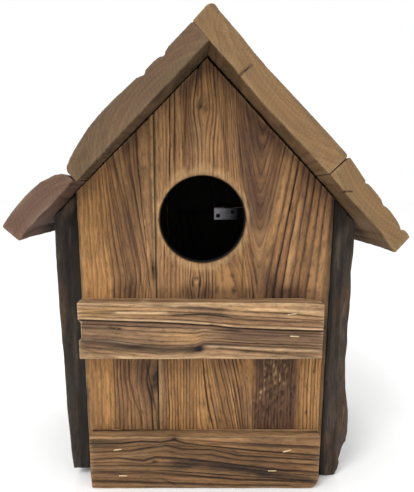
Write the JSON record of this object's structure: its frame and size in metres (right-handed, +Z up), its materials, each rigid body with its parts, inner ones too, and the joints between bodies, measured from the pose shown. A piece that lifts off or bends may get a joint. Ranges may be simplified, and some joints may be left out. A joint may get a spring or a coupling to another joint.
{
  "type": "birdhouse",
  "caption": "Gabled plank birdhouse with a round entrance, two front battens, overhanging roof boards and a hinged clean-out flap held by a turn button.",
  "frame": {"origin": "middle of the overall footprint, on the surface the house stands on", "axes": "+X to the right seen from the front, +Y from the front wall to the back, +Z up"},
  "size_m": [0.243, 0.214, 0.3062],
  "materials": {
    "weathered_plank": "brushed, oiled old softwood with raised grain",
    "batten_wood": "brushed old softwood with raised grain",
    "dark_side_wood": "rough dark weathered softwood",
    "roof_wood": "sawn and weathered softwood",
    "zinc_steel": "zinc-plated sheet steel, satin",
    "dark_screw_steel": "dark plated steel, satin",
    "staple_wire": "bright galvanised wire",
    "nail_steel": "dull weathered steel"
  },
  "bodies": {
    "house": {"front_narrow_board": "weathered_plank", "front_wide_board": "weathered_plank", "back_narrow_board": "weathered_plank", "back_wide_board": "weathered_plank", "upper_batten": "batten_wood", "lower_batten": "batten_wood", "back_batten": "batten_wood", "left_side_board": "dark_side_wood", "right_side_board": "dark_side_wood", "floor_board": "weathered_plank", "roof_left_upper": "roof_wood", "roof_left_lower": "roof_wood", "roof_right_upper": "roof_wood", "roof_right_lower": "roof_wood", "hinge_fixed_leaf": "zinc_steel", "hinge_pin": "zinc_steel", "hinge_fixed_screws": "dark_screw_steel", "turn_button_washer": "zinc_steel", "turn_button_screw": "dark_screw_steel", "upper_batten_staples": "staple_wire", "lower_batten_staples": "staple_wire", "back_batten_staples": "staple_wire", "roof_nails": "nail_steel", "side_nails": "nail_steel", "floor_nails": "nail_steel"},
    "flap": {"cleanout_flap": "weathered_plank", "hinge_flap_leaf": "zinc_steel", "hinge_flap_screws": "dark_screw_steel"},
    "button": {"turn_button": "batten_wood"}
  },
  "joints": [
    {"name": "flap_swing", "type": "hinge", "parent": "house", "child": "flap", "pos_m": [0.0234, 0.0725, 0.1945], "axis": [1, 0, 0], "range_deg": [0, 85]},
    {"name": "button_turn", "type": "hinge", "parent": "house", "child": "button", "pos_m": [0.0234, 0.0899, 0.027], "axis": [0, 1, 0], "continuous": true}
  ]
}
